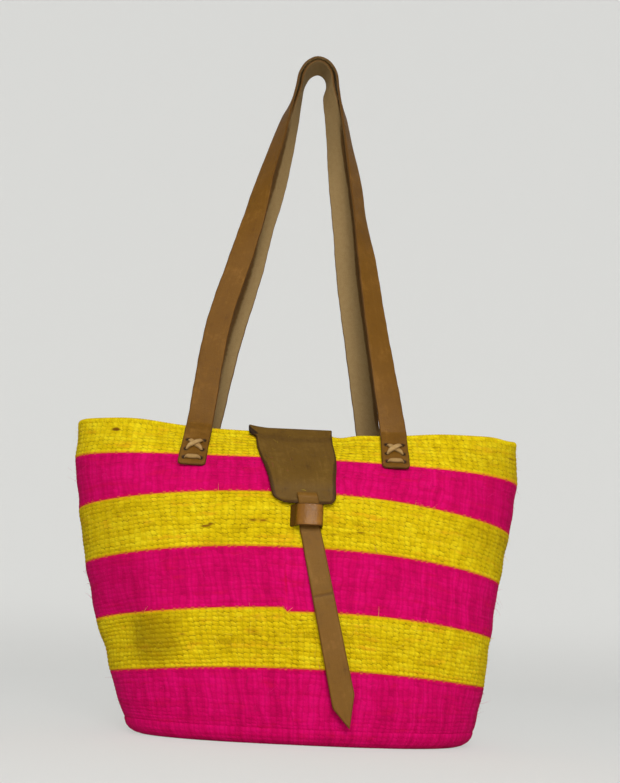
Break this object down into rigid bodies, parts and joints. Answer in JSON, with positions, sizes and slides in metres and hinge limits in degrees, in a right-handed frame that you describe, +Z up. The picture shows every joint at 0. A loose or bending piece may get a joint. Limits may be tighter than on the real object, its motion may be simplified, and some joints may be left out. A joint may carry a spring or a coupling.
{
  "type": "woven basket",
  "caption": "Hand-woven sisal basket in bright stripes, with laced leather straps and a leather flap closed by a tongue in a keeper.",
  "frame": {"origin": "centre of the flat underside of the floor, on the surface that the basket stands on", "axes": "+Z up, -Y towards the front that carries the flap and the keeper, +X to the right as seen from the front"},
  "size_m": [0.4328, 0.1684, 0.7263],
  "materials": {
    "yellow_sisal": "twined sisal yarn, matt, dyed yellow",
    "magenta_sisal": "twined sisal yarn, matt, dyed magenta",
    "strap_leather": "tan strap leather, satin",
    "flap_leather": "dark olive-brown leather, dull satin",
    "keeper_leather": "orange-brown leather, polished by use",
    "tongue_leather": "tan leather, flesh side out, dull",
    "lacing_leather": "pale tan thong, dull"
  },
  "bodies": {
    "basket": {"woven_base": "magenta_sisal", "magenta_band_lower": "magenta_sisal", "yellow_band_lower": "yellow_sisal", "magenta_band_middle": "magenta_sisal", "yellow_band_upper": "yellow_sisal", "magenta_band_upper": "magenta_sisal", "yellow_band_rim": "yellow_sisal", "rim_hem": "yellow_sisal", "front_strap_foot_left": "strap_leather", "front_strap_foot_right": "strap_leather", "rear_strap_foot_left": "strap_leather", "rear_strap_foot_right": "strap_leather", "front_lacing_left": "lacing_leather", "front_lacing_right": "lacing_leather", "rear_lacing_left": "lacing_leather", "rear_lacing_right": "lacing_leather", "flap_tab": "flap_leather", "flap_lacing": "lacing_leather", "keeper": "keeper_leather"},
    "front_handle": {"front_strap": "strap_leather"},
    "rear_handle": {"rear_strap": "strap_leather"},
    "closing_flap": {"flap": "flap_leather", "tongue": "tongue_leather"},
    "tail": {"tongue_tail": "tongue_leather"}
  },
  "joints": [
    {"name": "front_strap_fold", "type": "hinge", "parent": "basket", "child": "front_handle", "pos_m": [-0.01663, -0.0372, 0.27553], "axis": [1, 0, 0], "range_deg": [0, 120]},
    {"name": "rear_strap_fold", "type": "hinge", "parent": "basket", "child": "rear_handle", "pos_m": [-0.02624, 0.037, 0.2754], "axis": [-1, 0, 0], "range_deg": [0, 120]},
    {"name": "flap_lift", "type": "hinge", "parent": "basket", "child": "closing_flap", "pos_m": [-0.02136, 0.03837, 0.27106], "axis": [-1, 0, 0], "range_deg": [0, 1.5]},
    {"name": "tail_lift", "type": "hinge", "parent": "closing_flap", "child": "tail", "pos_m": [0.00144, -0.08331, 0.16634], "axis": [-1, 0, 0], "range_deg": [0, 80]}
  ]
}
